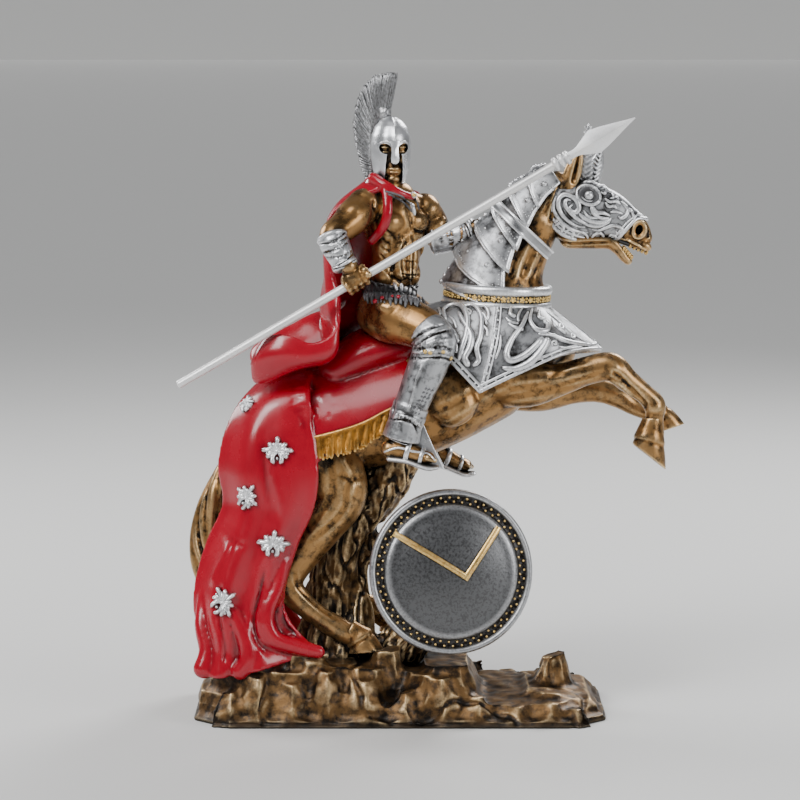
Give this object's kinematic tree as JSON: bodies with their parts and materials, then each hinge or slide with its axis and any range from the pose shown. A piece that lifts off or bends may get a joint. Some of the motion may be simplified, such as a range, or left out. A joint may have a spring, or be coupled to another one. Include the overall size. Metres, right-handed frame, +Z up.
{
  "type": "mounted roman soldier statuette",
  "caption": "Painted cast statuette of a helmeted soldier with a spear on a rearing armoured horse, with a rocky base, tree stump and round shield.",
  "frame": {"origin": "centre of the base's underside", "axes": "+Z up, +X towards the horse's head, -Y towards the viewer of the figure's shield side"},
  "size_m": [0.2534, 0.1048, 0.3199],
  "materials": {
    "painted_resin": "antique bronze, silver, gold and glossy red paint on cast resin",
    "spear_paint": "silver white paint",
    "shield_paint": "dark mottled steel paint with gold trim"
  },
  "bodies": {
    "root": {"statue": "painted_resin", "spear": "spear_paint", "shield": "shield_paint"}
  },
  "joints": []
}
